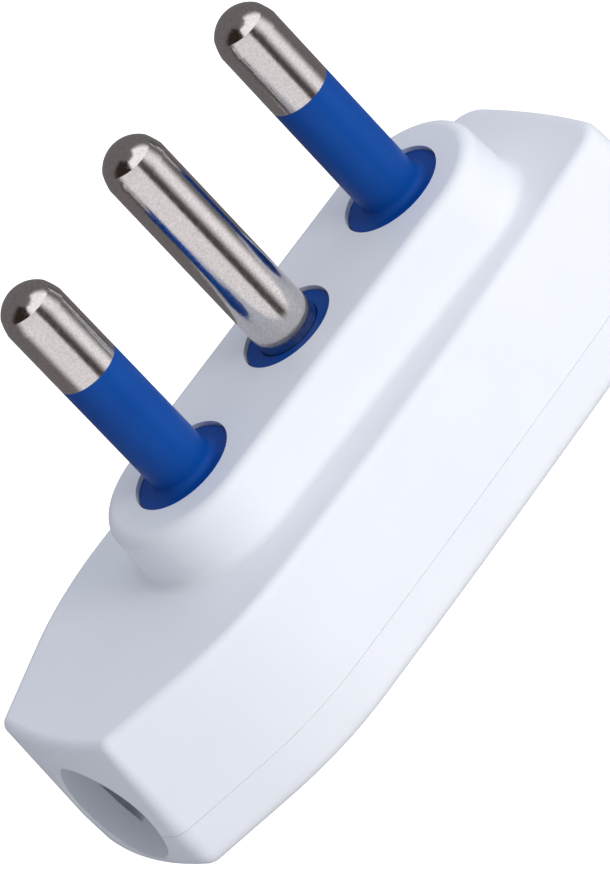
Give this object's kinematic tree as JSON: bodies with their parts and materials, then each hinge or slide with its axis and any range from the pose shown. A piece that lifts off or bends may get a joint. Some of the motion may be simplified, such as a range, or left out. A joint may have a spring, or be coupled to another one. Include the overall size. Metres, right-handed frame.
{
  "type": "low-profile mains plug",
  "caption": "Flat rewirable mains plug with three round pins in line, blue insulating sleeves and a side cable entry.",
  "frame": {"origin": "on the flat back face, straight under the middle pin's axis", "axes": "+Z along the pins towards their tips, +X along the pin row away from the cable entry, +Y across the row"},
  "size_m": [0.0609, 0.024, 0.0383],
  "materials": {
    "white_plastic": "satin white moulding",
    "blue_plastic": "satin blue moulding",
    "clamp_plastic": "matt white moulding",
    "nickel_plate": "nickel-plated brass",
    "brass_plate": "stamped brass",
    "zinc_screw": "zinc-plated steel"
  },
  "bodies": {
    "root": {"front_shell": "white_plastic", "back_cover": "white_plastic", "pin_carrier": "blue_plastic", "cord_clamp": "clamp_plastic", "line_pin": "nickel_plate", "line_saddle_plate": "brass_plate", "line_terminal_screw": "zinc_screw", "earth_pin": "nickel_plate", "earth_saddle_plate": "brass_plate", "earth_terminal_screw": "zinc_screw", "neutral_pin": "nickel_plate", "neutral_saddle_plate": "brass_plate", "neutral_terminal_screw": "zinc_screw", "left_clamp_screw": "zinc_screw", "right_clamp_screw": "zinc_screw", "far_cover_screw": "zinc_screw", "left_cover_screw": "zinc_screw", "right_cover_screw": "zinc_screw"}
  },
  "joints": []
}
